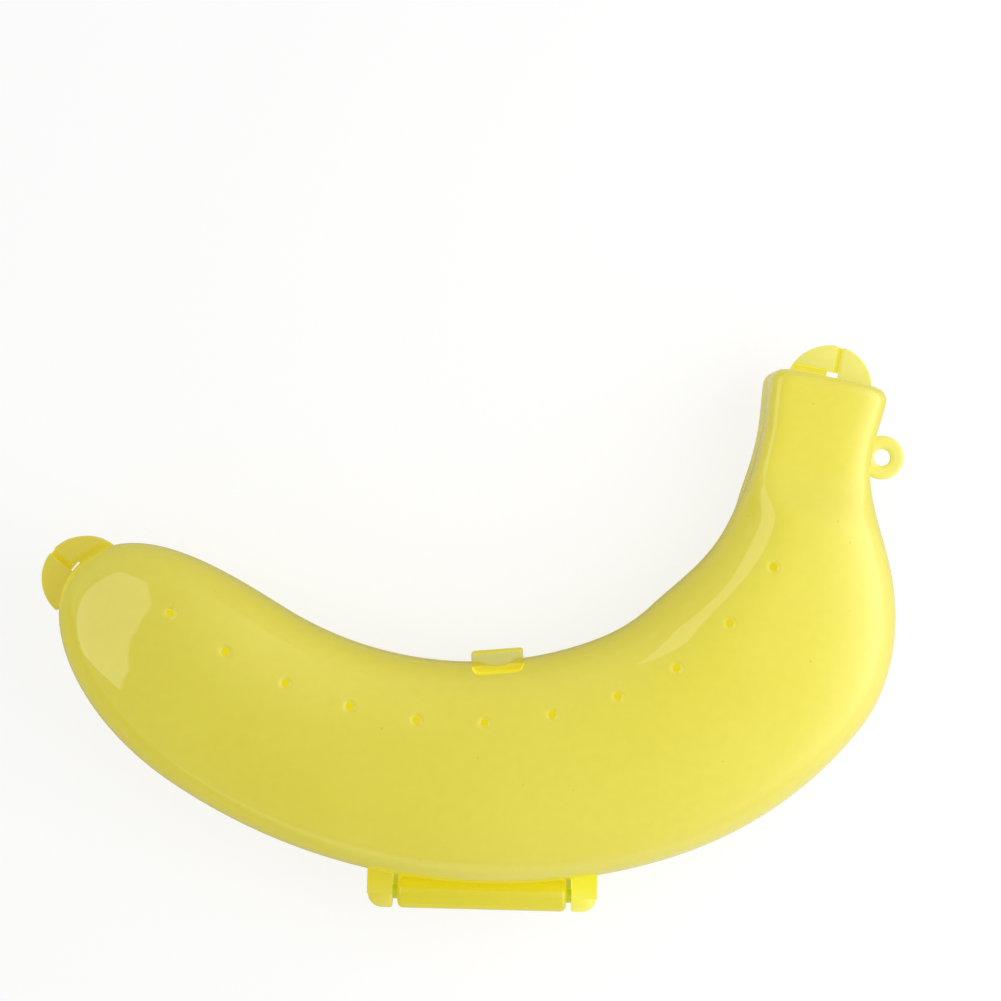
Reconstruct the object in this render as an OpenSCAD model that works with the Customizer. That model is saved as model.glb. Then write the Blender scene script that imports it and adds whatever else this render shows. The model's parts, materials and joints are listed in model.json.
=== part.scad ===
// Hinged carrying case for one banana: two thin half shells that close on each other.
// X runs along the hinge, Y runs across the bow from the hinge to the latch, Z is up.
// The case lies on its rear half, with the front half as the lid.

/* [Middle line] */
// Radius of the long bow
bow_r = 109; // [100:1:120]
// Length of the long bow
bow_len = 149; // [140:1:158]
// Radius of the tighter bend below the stem
bend_r = 61; // [55:1:70]
// Length of the tighter bend
bend_len = 61; // [54:1:68]
// Length of the straight stem
stem_len = 39.5; // [34:0.5:46]
// Length over which one curve runs into the next
blend_len = 20; // [10:1:30]
// Distance from the tip to the point where the middle line runs along the hinge
level_at = 105; // [99:1:111]

/* [Outline] */
// Length of the rounded tip
tip_len = 48; // [41:1:55]
// Fullness of the rounded tip, where 2 is an ellipse
tip_fullness = 2.2; // [2:0.1:2.6]
// Half width just behind the tip
tip_half_w = 24; // [22:0.2:26]
// Half width towards the belly, on the latch side
inner_half_w = 23.1; // [21.5:0.1:24.7]
// Half width towards the belly, on the hinge side
outer_half_w = 34.4; // [32:0.2:36.8]
// Length over which the tip widens to the belly
belly_len = 230; // [210:1:250]
// Length of the shoulder that narrows to the neck, on the latch side
inner_shoulder_len = 61; // [54:1:70]
// Length of the shoulder on the hinge side
outer_shoulder_len = 51; // [45:1:59]
// Half width of the neck, on the latch side
inner_neck_half_w = 12.7; // [12:0.1:13.4]
// Half width of the neck, on the hinge side
outer_neck_half_w = 13.9; // [13:0.1:15]
// Flare of the collar at the stem's end, on each side
collar_flare = 1.1; // [0.8:0.1:1.8]
// Length of the collar's flare
collar_len = 15.8; // [13:0.2:19]
// Corner radius at the stem's end
end_corner_r = 3.2; // [2.6:0.1:4]

/* [Depth and wall] */
// Depth of each half at the belly
belly_depth = 23; // [20:0.5:26]
// Depth of each half at the neck
neck_depth = 12.5; // [11:0.5:14]
// Height of the step where the stem meets the body
step_depth = 5; // [3:0.5:6]
// Length of that step
step_len = 12.5; // [10:0.5:16]
// Distance of that step from the stem's end
step_back = 23; // [20:0.5:26]
// Wall thickness
wall = 1.8; // [1.2:0.1:2.4]
// Gap between the two closed rims
rim_gap = 0.2; // [0.1:0.05:0.4]
// Chamfer along the outer edge of each rim
rim_chamfer = 0.35; // [0.2:0.05:0.6]
// Fullness of the body's section, where 2 is an ellipse
body_fullness = 2.4; // [2.1:0.1:2.8]
// Fullness of the stem's section, on the latch side
stem_inner_fullness = 7; // [5:0.5:8]
// Fullness of the stem's section, on the hinge side
stem_outer_fullness = 3; // [2.4:0.1:3.4]

/* [Hinge] */
// Length of the middle barrel
barrel_len = 40.4; // [32:0.2:46]
// Width of each ear
ear_w = 6; // [5:0.1:7.5]
// Gap between an ear and the barrel
ear_gap = 1.2; // [0.8:0.1:1.6]
// Radius of the barrel and the ears
knuckle_r = 3.8; // [3.4:0.1:4.2]
// Distance of the pin's axis below the body's lowest edge
hinge_drop = 3.1; // [2.7:0.1:4]
// Distance of the hinge's middle from the level point, towards the stem
hinge_shift = 6.6; // [4:0.2:12]
// Radius of the hinge pin
pin_r = 1.7; // [1.4:0.1:2]
// Depth of the pin in each ear
pin_seat = 4.2; // [3:0.1:4.6]
// Clearance of the pin in the barrel
pin_clearance = 0.06; // [0.04:0.01:0.1]
// Rounding of the ears' outer ends
ear_round = 2.6; // [1.6:0.1:3]
// Rounding of the barrel's ends
barrel_round = 0.8; // [0.4:0.1:1.2]
// Clearance of the knuckles from the other half
knuckle_clearance = 0.3; // [0.2:0.05:0.5]

/* [Latch] */
// Distance of the latch's middle from the tip
latch_at = 116.4; // [110:0.2:124]
// Width of the tongue
tongue_w = 12.4; // [11:0.2:14]
// Thickness of the tongue's head
head_t = 1.7; // [1.6:0.1:2.4]
// Reach of the tongue past the rims
tongue_reach = 4.4; // [4:0.1:5.4]
// Height of the head
head_h = 3.4; // [2.8:0.1:3.8]
// Corner radius of the head
head_corner_r = 1; // [0.5:0.1:1.4]
// Radius of the tongue's root bead, half the arm's thickness
bead_r = 0.8; // [0.7:0.05:0.9]
// Distance of the root bead behind the rims
root_back = 7; // [6:0.2:9]
// Height of the root block
root_h = 2.4; // [2:0.1:3.2]
// Wall of the root block outside the bead
root_wall = 0.4; // [0.3:0.05:0.6]
// Clearance of the bead in its socket
bead_clearance = 0.08; // [0.05:0.01:0.1]
// Gap between the tongue and the shells' edges
latch_gap = 0.5; // [0.4:0.05:0.8]
// Width of the tongue's nose
nose_w = 5.4; // [3.6:0.2:6]
// Reach of the nose inside the shells' edge
nose_reach = 0.8; // [0.6:0.1:1.4]
// Thickness of the nose
nose_t = 1.7; // [1.2:0.1:1.8]
// Clearance round the nose
nose_clearance = 0.3; // [0.2:0.05:0.4]
// Depth of the pocket that the nose sits in
pocket_depth = 2.1; // [1.8:0.1:3]
// Corner radius of the pocket
pocket_corner_r = 2; // [1.4:0.1:2.1]
// Height of the pocket's floor above the rim
pocket_floor = 2.2; // [1.6:0.1:2.3]
// Wall round the pocket
pocket_wall = 1.4; // [1:0.1:1.8]

/* [Tabs] */
// Radius of the pull tabs at both ends
tab_r = 10.2; // [9:0.1:11]
// Thickness of each pull tab
tab_t = 2.2; // [1.6:0.1:2.8]
// Slot between the two tabs of a pair
tab_slot = 1.4; // [0.8:0.1:1.8]
// Lap of a rear tab's web under the front tab's edge
tab_lap = 0.4; // [0.2:0.1:0.8]
// Groove between the raised part of the tip's rear tab and the front half
tip_tab_groove = 1.4; // [1:0.1:2]
// Groove between the raised part of the stem's rear tab and the front half
stem_tab_groove = 2.2; // [1.8:0.1:2.6]
// Distance of the stem tab's eyelet from the stem's end
stem_eyelet_out = 0.8; // [0.5:0.1:1.2]
// Width of the eyelet at the slot's foot
eyelet_w = 3; // [2:0.1:3.6]
// Height of the eyelet at the slot's foot
eyelet_h = 1.3; // [0.8:0.1:1.6]
// Distance of the tip tabs' centre from the tip, along the middle line
tip_tab_at = 3.8; // [3:0.1:6]
// Distance of the tip tabs' centre from the middle line, towards the hinge
tip_tab_out = 4; // [3:0.1:5]
// Angle of the tip tabs' slot from the middle line
tip_tab_turn = 14; // [8:1:24]
// Distance from the tip tabs' centre to the body's edge
tip_tab_foot = 3.2; // [2.7:0.1:3.8]
// Distance of the stem tabs' centre inside the stem's end
stem_tab_back = 1.9; // [1:0.1:2.4]
// Distance of the stem tabs' centre from the middle line, towards the hinge
stem_tab_out = 1; // [0:0.1:2]
// Distance of the stem tabs' slot from their centre, towards the hinge
stem_slot_out = 0.9; // [0:0.1:1.6]

/* [Hang loop] */
// Radius of the hole in the hang loop
loop_hole_r = 2; // [1.6:0.1:2.3]
// Width of the hang loop's ring
loop_ring = 3.3; // [2.6:0.1:3.6]
// Thickness of the hang loop
loop_t = 2.6; // [2:0.1:3.2]
// Distance of the hang loop from the stem's end
loop_back = 15.7; // [14:0.1:19]
// Distance of the hole's centre from the neck's half width
loop_out = 3.2; // [2.6:0.1:3.6]

/* [Vents] */
// Number of vent holes
vent_count = 11; // [7:1:13]
// Radius of a vent hole
vent_r = 0.9; // [0.7:0.1:1.4]
// Distance of the first vent hole from the tip
vent_from = 25.1; // [22:0.1:32]
// Distance between vent holes along their row
vent_pitch = 15.7; // [13:0.1:16]
// Distance of the row from the middle line, towards the latch
vent_in = 11.2; // [7:0.1:12]
// How much nearer to the middle line the row ends at the tip
vent_tip_drop = 2.3; // [0:0.1:5]
// How much nearer to the middle line the row ends at the stem
vent_stem_drop = 5.6; // [0:0.1:7]

/* [Hidden] */
$fn = 48;

// Plastic as the photo shows it, and a deeper tone for the small mouldings
shell_colour = [0.88, 0.83, 0.34];
trim_colour = [0.87, 0.80, 0.22];

// Steps of the middle line, rings of the shell and points of its section
line_steps = 248;
tip_rings = 14;
body_rings = 36;
end_rings = 5;
section_steps = 24;
// A cut runs this far past the faces that it crosses
over = 1;
// Chamfer along the inner edge of each rim
inner_chamfer = 0.1;
// How late the row of vents bends towards the middle line
vent_bend = 4;

// The middle line, as headings and points from the tip to the stem's end
line_len = bow_len + bend_len + stem_len;
line_step = line_len / line_steps;
degrees = 180 / PI;

function mix(a, b, t) = a + (b - a) * t;
function smooth(t) = let (u = min(max(t, 0), 1)) u * u * (3 - 2 * u);
function unit(angle) = [cos(angle), sin(angle)];
function bend_share(s) = smooth((s - bow_len) / blend_len + 0.5);
function stem_share(s) = smooth((s - bow_len - bend_len) / blend_len + 0.5);
function turn_rate(s) = mix(1 / bow_r, 1 / bend_r, bend_share(s)) * (1 - stem_share(s)) * degrees;
function along(table, s) =
    let (f = s / line_step, i = min(max(floor(f), 0), line_steps - 1))
    mix(table[i], table[i + 1], f - i);

turned = [
    for (i = 0, h = 0; i <= line_steps; h = h + turn_rate((i + 0.5) * line_step) * line_step, i = i + 1) h
];
headings = [for (h = turned) h - along(turned, level_at)];
points = [
    for (
        i = 0, p = [0, 0];
        i <= line_steps;
        p = p + line_step * unit((headings[i] + headings[min(i + 1, line_steps)]) / 2), i = i + 1
    ) p
];

function heading(s) = along(headings, s);
function point(s) = along(points, s);
function beside(s, v) = point(s) + v * unit(heading(s) + 90);

// Half widths on the two sides and the depth, drawn in by an inset for the inner face
neck_at = line_len - collar_len;
corner_at = line_len - end_corner_r;
step_at = line_len - step_back - step_len;
rim_z = rim_gap / 2;

function shoulder_share(s, shoulder_len) = smooth((s - neck_at) / shoulder_len + 1);
function collar_share(s) = smooth((s - neck_at) / collar_len);
function side_half_w(s, belly_half_w, neck_half_w, shoulder_len) =
    mix(mix(tip_half_w, belly_half_w, smooth(s / belly_len)), neck_half_w, shoulder_share(s, shoulder_len))
    + collar_flare * collar_share(s);
function tip_share(s, inset) =
    let (t = min(max((s - inset) / (tip_len - inset), 0), 1))
    pow(1 - pow(1 - t, tip_fullness), 1 / tip_fullness);
function end_cut(s, inset) =
    let (r = end_corner_r - inset, e = s - corner_at)
    e > 0 ? r - sqrt(max(r * r - e * e, 0)) : 0;
function drawn_in(size, s, inset) = (size - inset) * tip_share(s, inset) - end_cut(s, inset);
function inner_w(s, inset = 0) =
    drawn_in(side_half_w(s, inner_half_w, inner_neck_half_w, inner_shoulder_len), s, inset);
function outer_w(s, inset = 0) =
    drawn_in(side_half_w(s, outer_half_w, outer_neck_half_w, outer_shoulder_len), s, inset);
function step_share(s) = smooth((s - step_at) / step_len);
function body_depth(s) = mix(belly_depth, neck_depth + step_depth, shoulder_share(s, inner_shoulder_len));
function depth(s, inset = 0) = drawn_in(body_depth(s) - step_depth * step_share(s), s, inset);
function fullness(s, inner) = mix(body_fullness, inner ? stem_inner_fullness : stem_outer_fullness, step_share(s));

// Rings of one half, from the latch side over the top to the hinge side
ring_size = section_steps + 3;
ring_count = tip_rings + body_rings + end_rings;

function stations(inset) = [
    for (i = [1 : tip_rings]) mix(tip_len, inset, cos(90 * i / tip_rings)),
    for (i = [1 : body_rings]) mix(tip_len, corner_at, i / body_rings),
    for (i = [1 : end_rings]) corner_at + (end_corner_r - inset) * sin(90 * i / end_rings)
];
function arc_share(value, s, inner) = sign(value) * pow(abs(value), 2 / fullness(s, inner));
function section(s, inset) =
    let (
        a = inner_w(s, inset),
        b = outer_w(s, inset),
        c = inset > 0 ? inner_chamfer : rim_chamfer,
        d = depth(s, inset) - rim_z - c
    )
    [
        [a - c, rim_z],
        for (i = [0 : section_steps])
            let (f = 180 * i / section_steps, inner = f < 90, u = arc_share(cos(f), s, inner))
            [u * (inner ? a : b), rim_z + c + d * arc_share(sin(f), s, inner)],
        [c - b, rim_z]
    ];
function in_space(s, uz) = let (p = beside(s, uz[0])) [p[0], p[1], uz[1]];
function tip_point(inset) = let (p = point(inset)) [p[0], p[1], rim_z];
function skin(inset) = [
    tip_point(inset),
    for (s = stations(inset)) for (uz = section(s, inset)) in_space(s, uz)
];

// Faces of a skin whose points start at index base, seen from outside or turned inside out
function ring_index(base, ring, k) = base + 1 + ring * ring_size + k;
function turned_face(face, inward) = inward ? [face[0], face[2], face[1]] : face;
function skin_faces(base, inward, last_ring) = [
    for (k = [0 : ring_size - 2])
        turned_face([base, ring_index(base, 0, k), ring_index(base, 0, k + 1)], inward),
    for (ring = [0 : last_ring - 1]) for (k = [0 : ring_size - 2])
        let (
            a = ring_index(base, ring, k),
            b = ring_index(base, ring, k + 1),
            c = ring_index(base, ring + 1, k + 1),
            d = ring_index(base, ring + 1, k)
        )
        each [turned_face([a, d, c], inward), turned_face([a, c, b], inward)],
    for (k = [1 : ring_size - 2])
        turned_face(
            [ring_index(base, last_ring, 0), ring_index(base, last_ring, k + 1), ring_index(base, last_ring, k)],
            inward
        )
];

// The flat rim between the outer and the inner skin, on both sides and across the stem's end
function rim_edge(base, k) = [base, for (ring = [0 : ring_count - 1]) ring_index(base, ring, k)];
function rim_strip(near, far) = [
    for (i = [0 : len(near) - 2])
        each [[near[i], near[i + 1], far[i + 1]], [near[i], far[i + 1], far[i]]]
];
skin_size = 1 + ring_count * ring_size;
last_k = ring_size - 1;
last_ring = ring_count - 1;
end_outer = [ring_index(0, last_ring, 0), ring_index(0, last_ring, last_k)];
end_inner = [ring_index(skin_size, last_ring, 0), ring_index(skin_size, last_ring, last_k)];

module half_shell() {
    polyhedron(
        points = concat(skin(0), skin(wall)),
        faces = concat(
            skin_faces(0, false, last_ring),
            skin_faces(skin_size, true, last_ring),
            rim_strip(rim_edge(skin_size, 0), rim_edge(0, 0)),
            rim_strip(rim_edge(0, last_k), rim_edge(skin_size, last_k)),
            rim_strip(end_inner, end_outer)
        )
    );
}

// The outer form of one half as a full solid, which the small mouldings are cut to
function slice_faces(first, last) = [
    for (ring = [0 : last - first - 1]) for (k = [0 : ring_size - 1])
        let (
            next = (k + 1) % ring_size,
            a = ring * ring_size + k,
            b = ring * ring_size + next,
            c = (ring + 1) * ring_size + next,
            d = (ring + 1) * ring_size + k
        )
        each [[a, d, c], [a, c, b]],
    [for (k = [0 : ring_size - 1]) k],
    [for (k = [ring_size - 1 : -1 : 0]) (last - first) * ring_size + k]
];
module half_slice(from_s, to_s) {
    outer_stations = stations(0);
    below = [for (i = [0 : last_ring]) if (outer_stations[i] < from_s) i];
    above = [for (i = [0 : last_ring]) if (outer_stations[i] > to_s) i];
    first = len(below) == 0 ? 0 : below[len(below) - 1];
    last = len(above) == 0 ? last_ring : above[0];
    polyhedron(
        points = [
            for (i = [first : last]) for (uz = section(outer_stations[i], 0)) in_space(outer_stations[i], uz)
        ],
        faces = slice_faces(first, last)
    );
}
module half_tip() {
    base_faces = [
        for (i = [0 : tip_rings - 2])
            each [
                [ring_index(0, i, 0), ring_index(0, i, last_k), ring_index(0, i + 1, last_k)],
                [ring_index(0, i, 0), ring_index(0, i + 1, last_k), ring_index(0, i + 1, 0)]
            ],
        [0, ring_index(0, 0, last_k), ring_index(0, 0, 0)]
    ];
    polyhedron(points = skin(0), faces = concat(skin_faces(0, false, tip_rings - 1), base_faces));
}

// Places on the case
outline = [for (s = stations(0)) each [beside(s, inner_w(s)), beside(s, -outer_w(s))]];
lowest_y = min([for (p = outline) p[1]]);
hinge_mid = [point(level_at)[0] + hinge_shift, lowest_y - hinge_drop];
tip_tab_mid = beside(tip_tab_at, -tip_tab_out);
tip_tab_angle = heading(tip_tab_at) + 180 + tip_tab_turn;
stem_tab_mid = beside(line_len - stem_tab_back, -stem_tab_out);
loop_mid = beside(line_len - loop_back, -outer_neck_half_w - loop_out);
loop_r = loop_hole_r + loop_ring;
latch_edge = inner_w(latch_at);

// The frame's origin is under the middle of the whole case
least = [
    min(tip_tab_mid[0] - tab_r, min([for (p = outline) p[0]])),
    hinge_mid[1] - knuckle_r
];
most = [
    max(loop_mid[0] + loop_r, max([for (p = outline) p[0]])),
    max(stem_tab_mid[1] + tab_r, max([for (p = outline) p[1]]))
];
middle = (least + most) / 2;

module placed() {
    translate([-middle[0], -middle[1], belly_depth]) children();
}
module to_rear() {
    mirror([0, 0, 1]) children();
}
module at_latch() {
    translate([point(latch_at)[0], point(latch_at)[1], 0])
        rotate(heading(latch_at))
            translate([0, latch_edge, 0])
                children();
}
module at_hinge(x) {
    translate([hinge_mid[0] + x, hinge_mid[1], 0]) children();
}

// Hinge
ear_from = barrel_len / 2 + ear_gap;
ear_to = ear_from + ear_w;
knuckle_free_r = knuckle_r + knuckle_clearance;
// The hinge's arms reach up to the body's edge, which rises towards the ears
arm_rise = hinge_drop + ear_to * ear_to / bow_r;
// The barrel's arm runs on behind the gaps, clear of the ears
arm_half_w = ear_from - knuckle_clearance;

module rod(r, length) {
    rotate([0, 90, 0]) cylinder(r = r, h = length);
}
module rounded_rod(r, length, round_r) {
    rotate([0, 90, 0])
        rotate_extrude()
            union() {
                square([r - round_r, length]);
                square([r, length - round_r]);
                translate([r - round_r, length - round_r])
                    intersection() {
                        circle(round_r);
                        square(round_r);
                    }
            }
}
module ear() {
    difference() {
        union() {
            rounded_rod(knuckle_r, ear_w, ear_round);
            translate([0, 0, 2 * rim_z]) cube([ear_w, arm_rise, knuckle_r - 2 * rim_z]);
        }
        translate([-over, 0, 0]) rod(pin_r, pin_seat + over);
    }
}
module knuckle_relief(from_x, to_x) {
    at_hinge(from_x - knuckle_clearance) rod(knuckle_free_r, to_x - from_x + 2 * knuckle_clearance);
}
module hinge_slice() {
    half_slice(level_at + hinge_shift - ear_to - 2 * wall, level_at + hinge_shift + ear_to + 2 * wall);
}

// Latch: root block and tongue on the rear half, pocket in the front half
arm_mid = latch_gap + bead_r;
socket_r = bead_r + bead_clearance;
root_out = arm_mid + socket_r + root_wall;
// The root block starts this far inside the shell's edge, and is cut back to the outer face
root_in = root_back;

module tongue_plan() {
    translate([-tongue_w / 2, 0]) square([tongue_w, head_t - head_corner_r]);
    translate([head_corner_r - tongue_w / 2, 0]) square([tongue_w - 2 * head_corner_r, head_t]);
    for (side = [-1, 1])
        translate([side * (tongue_w / 2 - head_corner_r), head_t - head_corner_r]) circle(head_corner_r);
}
module nose_plan(grow) {
    r = nose_w / 2 + grow;
    translate([0, nose_w / 2 - nose_reach]) {
        circle(r);
        translate([-r, 0]) square([2 * r, nose_reach + latch_gap + over]);
    }
}
module pocket_plan(grow) {
    r = pocket_corner_r + grow;
    w = tongue_w / 2 + grow;
    d = pocket_depth + grow;
    translate([-w, r - d]) square([2 * w, d - r + over]);
    translate([r - w, -d]) square([2 * w - 2 * r, d + over]);
    for (side = [-1, 1])
        translate([side * (w - r), r - d]) circle(r);
}
module pocket_block(grow, from_z) {
    at_latch() translate([0, 0, from_z]) linear_extrude(belly_depth) pocket_plan(grow);
}
module latch_slice() {
    half_slice(latch_at - tongue_w, latch_at + tongue_w);
}

// Pull tabs: a half disc split by a slot. The front quarter is a plain plate. The rear quarter is a thin web
// that runs on under the slot, with an eyelet at its foot and a raised part level with the front quarter.
tab_z = rim_z + tab_t;
stem_tab_foot = stem_tab_back + stem_eyelet_out;

module at_tip_tab() {
    translate([tip_tab_mid[0], tip_tab_mid[1], 0]) rotate(tip_tab_angle) mirror([0, 1, 0]) children();
}
module at_stem_tab() {
    translate([stem_tab_mid[0], stem_tab_mid[1], 0]) rotate(heading(line_len)) children();
}
module front_tab(slot_y) {
    translate([0, 0, rim_z])
        linear_extrude(tab_t)
            intersection() {
                circle(tab_r);
                translate([0, -tab_r]) square([tab_r, tab_r + slot_y - tab_slot / 2]);
            }
}
module rear_tab(eyelet_from, eyelet_to, slot_y) {
    web_y = slot_y - tab_slot / 2 - tab_lap;
    difference() {
        translate([0, 0, -tab_z])
            linear_extrude(2 * tab_z)
                intersection() {
                    circle(tab_r);
                    translate([0, web_y]) square([tab_r, tab_r - web_y]);
                }
        translate([eyelet_from, web_y - over, -tab_z - over])
            cube([eyelet_to - eyelet_from, eyelet_w + over, tab_z + over]);
        translate([-over, web_y - over, -rim_z]) cube([tab_r + 2 * over, tab_lap + tab_slot + over, 2 * tab_z]);
    }
}
// The tip's outline, which the groove beside the tip tab's raised part follows
tip_stations = [for (i = [1 : tip_rings]) stations(0)[i - 1]];
tip_plan = concat(
    [for (i = [tip_rings - 1 : -1 : 0]) beside(tip_stations[i], inner_w(tip_stations[i]))],
    [point(0)],
    [for (s = tip_stations) beside(s, -outer_w(s))]
);
module tip_groove() {
    forward = tip_tab_groove * unit(tip_tab_angle);
    translate([forward[0], forward[1], -rim_z]) linear_extrude(2 * tab_z) polygon(tip_plan);
}
module stem_groove() {
    at_stem_tab()
        translate([-over, -2 * tab_r, -rim_z])
            cube([stem_tab_back + stem_tab_groove + over, 4 * tab_r, 2 * tab_z]);
}

// Vents: a row of holes an even distance apart, measured along the row itself
function vent_off(i) =
    let (from_mid = 2 * i / (vent_count - 1) - 1)
    vent_in - (from_mid < 0 ? vent_tip_drop : vent_stem_drop) * pow(abs(from_mid), vent_bend);
function vent_at(i) =
    i == 0
    ? vent_from
    : vent_at(i - 1) + vent_pitch / (1 - turn_rate(vent_at(i - 1)) / degrees * vent_off(i - 1));

// Rear half
module rear_shell() {
    color(shell_colour) placed() difference() {
        to_rear() half_shell();
        knuckle_relief(ear_from, ear_to);
        knuckle_relief(-ear_to, -ear_from);
    }
}
module hinge_barrel() {
    color(trim_colour) placed() difference() {
        union() {
            at_hinge(0) rounded_rod(knuckle_r, barrel_len / 2, barrel_round);
            at_hinge(0) mirror([1, 0, 0]) rounded_rod(knuckle_r, barrel_len / 2, barrel_round);
            at_hinge(-arm_half_w)
                translate([0, 0, -knuckle_r])
                    cube([2 * arm_half_w, arm_rise, knuckle_r - 2 * rim_z]);
        }
        at_hinge(-barrel_len / 2 - over) rod(pin_r + pin_clearance, barrel_len + 2 * over);
        to_rear() hinge_slice();
    }
}
module latch_root() {
    color(trim_colour) placed() difference() {
        at_latch()
            translate([-tongue_w / 2, -root_in, -root_back - root_h])
                cube([tongue_w, root_in + root_out, root_h]);
        at_latch() translate([-tongue_w / 2 - over, arm_mid, -root_back]) rod(socket_r, tongue_w + 2 * over);
        to_rear() latch_slice();
    }
}
module hang_loop() {
    color(trim_colour) placed() difference() {
        translate([loop_mid[0], loop_mid[1], -rim_z - loop_t]) cylinder(r = loop_r, h = loop_t);
        translate([loop_mid[0], loop_mid[1], -rim_z - loop_t - over])
            cylinder(r = loop_hole_r, h = loop_t + 2 * over);
        to_rear() half_slice(line_len - loop_back - loop_r, line_len - loop_back + loop_r);
    }
}
module tip_tab_rear() {
    color(trim_colour) placed() difference() {
        at_tip_tab() rear_tab(-over, tip_tab_foot + eyelet_h, 0);
        tip_groove();
        to_rear() half_tip();
    }
}
module stem_tab_rear() {
    color(trim_colour) placed() difference() {
        at_stem_tab() rear_tab(stem_tab_foot, stem_tab_foot + eyelet_h, -stem_slot_out);
        stem_groove();
        to_rear() half_slice(corner_at, line_len);
    }
}

// Front half
module front_shell() {
    color(shell_colour) placed() difference() {
        half_shell();
        knuckle_relief(-barrel_len / 2, barrel_len / 2);
        pocket_block(pocket_wall, -over);
        for (i = [0 : vent_count - 1])
            let (p = beside(vent_at(i), vent_off(i)))
            translate([p[0], p[1], wall]) cylinder(r = vent_r, h = belly_depth);
    }
}
module hinge_ear_right() {
    color(trim_colour) placed() difference() {
        at_hinge(ear_from) ear();
        hinge_slice();
    }
}
module hinge_ear_left() {
    color(trim_colour) placed() difference() {
        at_hinge(-ear_from) mirror([1, 0, 0]) ear();
        hinge_slice();
    }
}
module hinge_pin() {
    color(trim_colour) placed() at_hinge(-ear_from - pin_seat) rod(pin_r, 2 * (ear_from + pin_seat));
}
module latch_catch() {
    color(trim_colour) placed() difference() {
        intersection() {
            pocket_block(pocket_wall, rim_z);
            latch_slice();
        }
        pocket_block(0, rim_z + pocket_floor);
        at_latch() linear_extrude(belly_depth) nose_plan(nose_clearance);
    }
}
module tip_tab_front() {
    color(trim_colour) placed() difference() {
        at_tip_tab() front_tab(0);
        half_tip();
    }
}
module stem_tab_front() {
    color(trim_colour) placed() difference() {
        at_stem_tab() front_tab(-stem_slot_out);
        half_slice(corner_at, line_len);
    }
}

// Latch tongue, which bends outwards at its root
module latch_tongue() {
    color(trim_colour) placed() at_latch() {
        translate([-tongue_w / 2, arm_mid, -root_back]) rod(bead_r, tongue_w);
        translate([-tongue_w / 2, latch_gap, -root_back]) cube([tongue_w, 2 * bead_r, root_back + tongue_reach]);
        translate([0, latch_gap, tongue_reach - head_h]) linear_extrude(head_h) tongue_plan();
        translate([0, 0, tongue_reach - nose_t])
            linear_extrude(nose_t)
                intersection() {
                    nose_plan(0);
                    translate([-nose_w, -nose_w]) square([2 * nose_w, nose_w + latch_gap + bead_r]);
                }
    }
}

rear_shell();
hinge_barrel();
latch_root();
hang_loop();
tip_tab_rear();
stem_tab_rear();
front_shell();
hinge_ear_left();
hinge_ear_right();
hinge_pin();
latch_catch();
tip_tab_front();
stem_tab_front();
latch_tongue();
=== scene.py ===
"""Looks of a hinged carrying case for one banana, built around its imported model. Lengths are in metres."""

import json
import math

import bmesh
import bpy
from mathutils import Matrix, Vector


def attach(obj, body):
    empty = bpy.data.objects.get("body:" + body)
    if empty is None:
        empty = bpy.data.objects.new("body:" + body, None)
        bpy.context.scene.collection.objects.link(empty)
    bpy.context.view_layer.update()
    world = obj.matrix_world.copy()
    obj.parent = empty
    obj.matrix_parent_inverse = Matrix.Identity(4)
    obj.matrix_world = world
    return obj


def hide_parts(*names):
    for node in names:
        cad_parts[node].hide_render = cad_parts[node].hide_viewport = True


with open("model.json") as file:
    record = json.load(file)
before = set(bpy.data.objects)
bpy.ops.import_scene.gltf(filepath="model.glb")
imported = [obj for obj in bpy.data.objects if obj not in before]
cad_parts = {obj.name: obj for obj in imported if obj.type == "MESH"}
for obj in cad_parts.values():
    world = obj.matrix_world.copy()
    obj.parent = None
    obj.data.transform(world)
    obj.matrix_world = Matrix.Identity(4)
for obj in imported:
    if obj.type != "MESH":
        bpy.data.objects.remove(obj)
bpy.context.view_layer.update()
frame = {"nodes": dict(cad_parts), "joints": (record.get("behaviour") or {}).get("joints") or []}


# Rear half of the body. A thin bowl of glossy, slightly milky yellow polypropylene, injection moulded in
# one piece: a long bow with a rounded tip, a tighter bend below the stem and a flared collar at the end.
# It lies on the table, and the hinge, latch, loop and half of each pull tab are moulded onto it.
bow_r = 0.109
bow_len = 0.149
bend_r = 0.061
bend_len = 0.061
stem_len = 0.0395
blend_len = 0.020
level_at = 0.105
tip_len = 0.048
tip_fullness = 2.2
tip_half_w = 0.024
inner_half_w = 0.0231
outer_half_w = 0.0344
belly_len = 0.230
inner_shoulder_len = 0.061
outer_shoulder_len = 0.051
inner_neck_half_w = 0.0127
outer_neck_half_w = 0.0139
collar_flare = 0.0011
collar_len = 0.0158
end_corner_r = 0.0032
belly_depth = 0.023
neck_depth = 0.0125
step_depth = 0.005
step_len = 0.0125
step_back = 0.023
body_fullness = 2.4
stem_inner_fullness = 7.0
stem_outer_fullness = 3.0
wall = 0.0018
rim_z = 0.0001
rim_round = 0.0003
hinge_shift = 0.0066
hinge_drop = 0.0031
tiny = 0.000001
sharp_angle = math.radians(50)
crease_angle = math.radians(35)

line_len = bow_len + bend_len + stem_len
line_steps = 990
line_step = line_len / line_steps
neck_at = line_len - collar_len
corner_at = line_len - end_corner_r
step_at = line_len - step_back - step_len


def mix(a, b, share):
    return a + (b - a) * share


def smooth(share):
    share = min(max(share, 0.0), 1.0)
    return share * share * (3 - 2 * share)


def turn_rate(s):
    bend = smooth((s - bow_len) / blend_len + 0.5)
    stem = smooth((s - bow_len - bend_len) / blend_len + 0.5)
    return mix(1 / bow_r, 1 / bend_r, bend) * (1 - stem)


def along(table, s):
    place = s / line_step
    i = min(max(int(place), 0), line_steps - 1)
    return mix(table[i], table[i + 1], place - i)


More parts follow.
